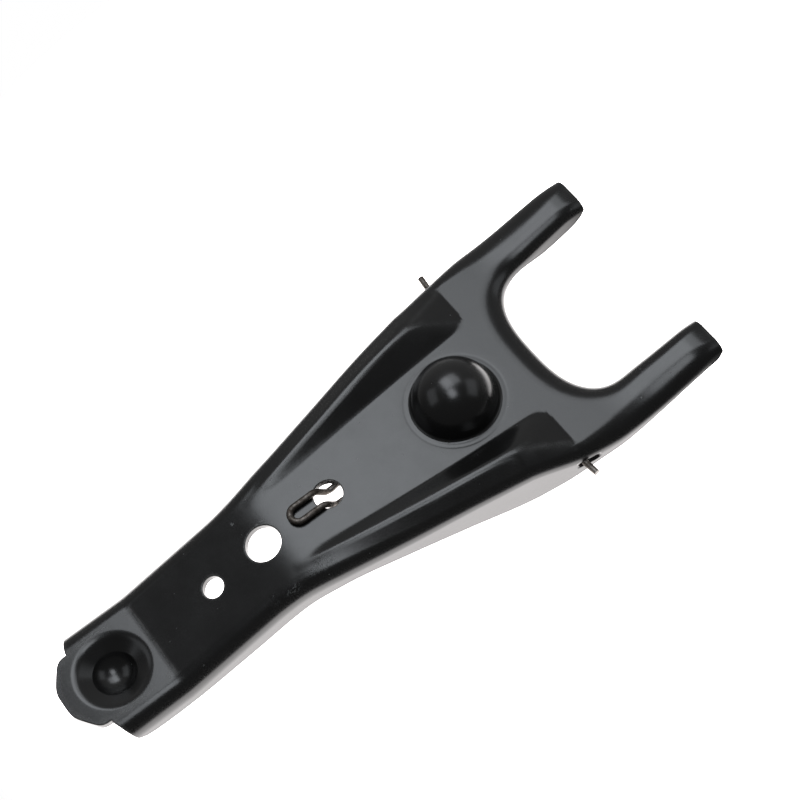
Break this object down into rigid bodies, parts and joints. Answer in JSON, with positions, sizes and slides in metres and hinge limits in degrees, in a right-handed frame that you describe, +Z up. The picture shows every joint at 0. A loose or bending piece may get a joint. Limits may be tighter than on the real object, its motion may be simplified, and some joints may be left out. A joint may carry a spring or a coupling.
{
  "type": "clutch fork",
  "caption": "Pressed steel clutch release fork: channel-section lever with a domed ball seat, raised ribs, forked arms, a push-rod cup and a wire clip that holds it on its pivot ball.",
  "frame": {"origin": "centre of the bounding box's bottom face, on the table plane under the flange edges", "axes": "+X along the fork from the push-rod end to the arm tips, +Y across it, +Z up through the ball seat's dome"},
  "size_m": [0.2238, 0.091, 0.0292],
  "materials": {
    "black_paint": "semi-gloss black paint over pressed sheet steel",
    "spring_wire": "dark drawn spring wire"
  },
  "bodies": {
    "root": {"fork_body": "black_paint", "retaining_clip": "spring_wire"}
  },
  "joints": []
}
